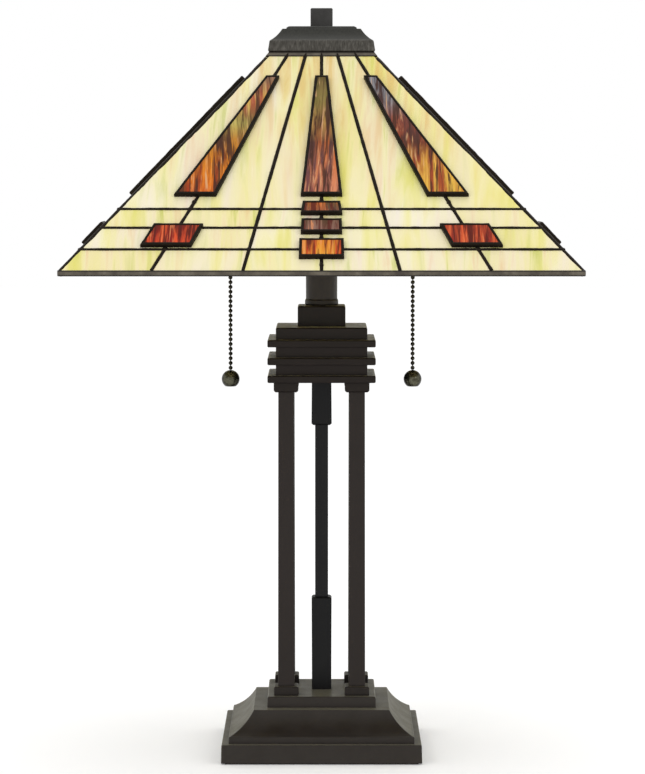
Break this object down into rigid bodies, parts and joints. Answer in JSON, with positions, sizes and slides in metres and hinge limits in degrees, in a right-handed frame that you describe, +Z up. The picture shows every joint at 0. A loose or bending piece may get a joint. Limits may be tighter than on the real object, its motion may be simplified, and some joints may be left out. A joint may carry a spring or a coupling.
{
  "type": "table lamp",
  "caption": "Mission-style table lamp with a square stepped base, posts round a centre tube, pull-chain sockets and a pyramid shade of leaded art glass.",
  "frame": {"origin": "middle of the underside, on the surface the lamp stands on", "axes": "+Z up along the column, front panel facing -Y, pull chains on the X axis"},
  "size_m": [0.4048, 0.4048, 0.6147],
  "materials": {
    "felt": "dense felt",
    "zinc_steel": "zinc plated",
    "ballast_iron": "raw casting",
    "bronze_finish": "dark bronze, satin",
    "black_finish": "near-black satin",
    "pewter_finish": "dark pewter, satin",
    "bushing_plastic": "moulded",
    "wire_insulation": "smooth",
    "socket_brass": "aged brass",
    "liner_fibre": "pressed fibre",
    "switch_plastic": "phenolic",
    "bulb_envelope": "frosted",
    "bulb_cap": "satin",
    "antique_brass": "antique, burnished",
    "lead_came": "dark patina on solder",
    "field_art_glass": "opalescent, wispy",
    "amber_art_glass": "streaky",
    "red_art_glass": "streaky"
  },
  "bodies": {
    "stand": {"felt_pad": "felt", "base_cover_plate": "zinc_steel", "ballast_weight": "ballast_iron", "base_plinth": "bronze_finish", "base_cove": "bronze_finish", "pedestal_plate": "bronze_finish", "cord_bushing": "bushing_plastic", "base_nipple": "zinc_steel", "base_locknut": "zinc_steel", "post_feet": "bronze_finish", "posts": "bronze_finish", "post_capitals": "bronze_finish", "post_tie_rods": "zinc_steel", "post_nuts": "zinc_steel", "lower_sleeve": "black_finish", "centre_tube": "black_finish", "upper_sleeve": "black_finish", "lower_flange": "bronze_finish", "middle_flange": "bronze_finish", "upper_flange": "bronze_finish", "flange_spacers": "bronze_finish", "core_plate": "bronze_finish", "collar_block": "bronze_finish", "neck_ring": "bronze_finish", "neck_tube": "bronze_finish", "top_nipple": "zinc_steel", "lead_wires": "wire_insulation", "cluster_body": "bronze_finish", "cluster_arms": "bronze_finish", "socket_caps": "socket_brass", "socket_shells": "socket_brass", "socket_liners": "liner_fibre", "socket_interiors": "switch_plastic", "chain_nozzles": "socket_brass", "riser_rod": "zinc_steel", "riser_locknut": "zinc_steel"},
    "shade": {"shade_spider": "zinc_steel", "top_frame": "pewter_finish", "rim_frame": "lead_came", "hip_cames": "lead_came", "leading": "lead_came", "field_glass_front": "field_art_glass", "field_glass_right": "field_art_glass", "field_glass_back": "field_art_glass", "field_glass_left": "field_art_glass", "long_accent_glass": "amber_art_glass", "border_accent_glass": "red_art_glass", "cap": "pewter_finish"},
    "finial": {"finial": "pewter_finish"},
    "left_bulb": {"left_bulb_glass": "bulb_envelope", "left_bulb_base": "bulb_cap"},
    "right_bulb": {"right_bulb_glass": "bulb_envelope", "right_bulb_base": "bulb_cap"},
    "left_pull": {"left_chain_lead": "antique_brass"},
    "right_pull": {"right_chain_lead": "antique_brass"},
    "left_drop": {"left_chain": "antique_brass", "left_ball_pull": "antique_brass"},
    "right_drop": {"right_chain": "antique_brass", "right_ball_pull": "antique_brass"}
  },
  "joints": [
    {"name": "shade_turn", "type": "hinge", "parent": "stand", "child": "shade", "pos_m": [0, 0, 0.576], "axis": [0, 0, 1], "continuous": true},
    {"name": "finial_turn", "type": "hinge", "parent": "stand", "child": "finial", "pos_m": [0, 0, 0.606], "axis": [0, 0, 1], "continuous": true},
    {"name": "left_bulb_turn", "type": "hinge", "parent": "stand", "child": "left_bulb", "pos_m": [-0.045, 0, 0.448], "axis": [0, 0, 1], "continuous": true},
    {"name": "left_chain_pull", "type": "slide", "parent": "stand", "child": "left_pull", "axis": [0, 0, -1], "range_m": [0, 0.01], "stiffness_N_per_m": 250, "springref_m": -0.002},
    {"name": "left_chain_swing", "type": "hinge", "parent": "left_pull", "child": "left_drop", "pos_m": [-0.0756, 0, 0.4128], "axis": [0, 1, 0], "range_deg": [-11, 11]},
    {"name": "right_bulb_turn", "type": "hinge", "parent": "stand", "child": "right_bulb", "pos_m": [0.045, 0, 0.448], "axis": [0, 0, 1], "continuous": true},
    {"name": "right_chain_pull", "type": "slide", "parent": "stand", "child": "right_pull", "axis": [0, 0, -1], "range_m": [0, 0.01], "stiffness_N_per_m": 250, "springref_m": -0.002},
    {"name": "right_chain_swing", "type": "hinge", "parent": "right_pull", "child": "right_drop", "pos_m": [0.0756, 0, 0.4128], "axis": [0, 1, 0], "range_deg": [-11, 11]}
  ]
}
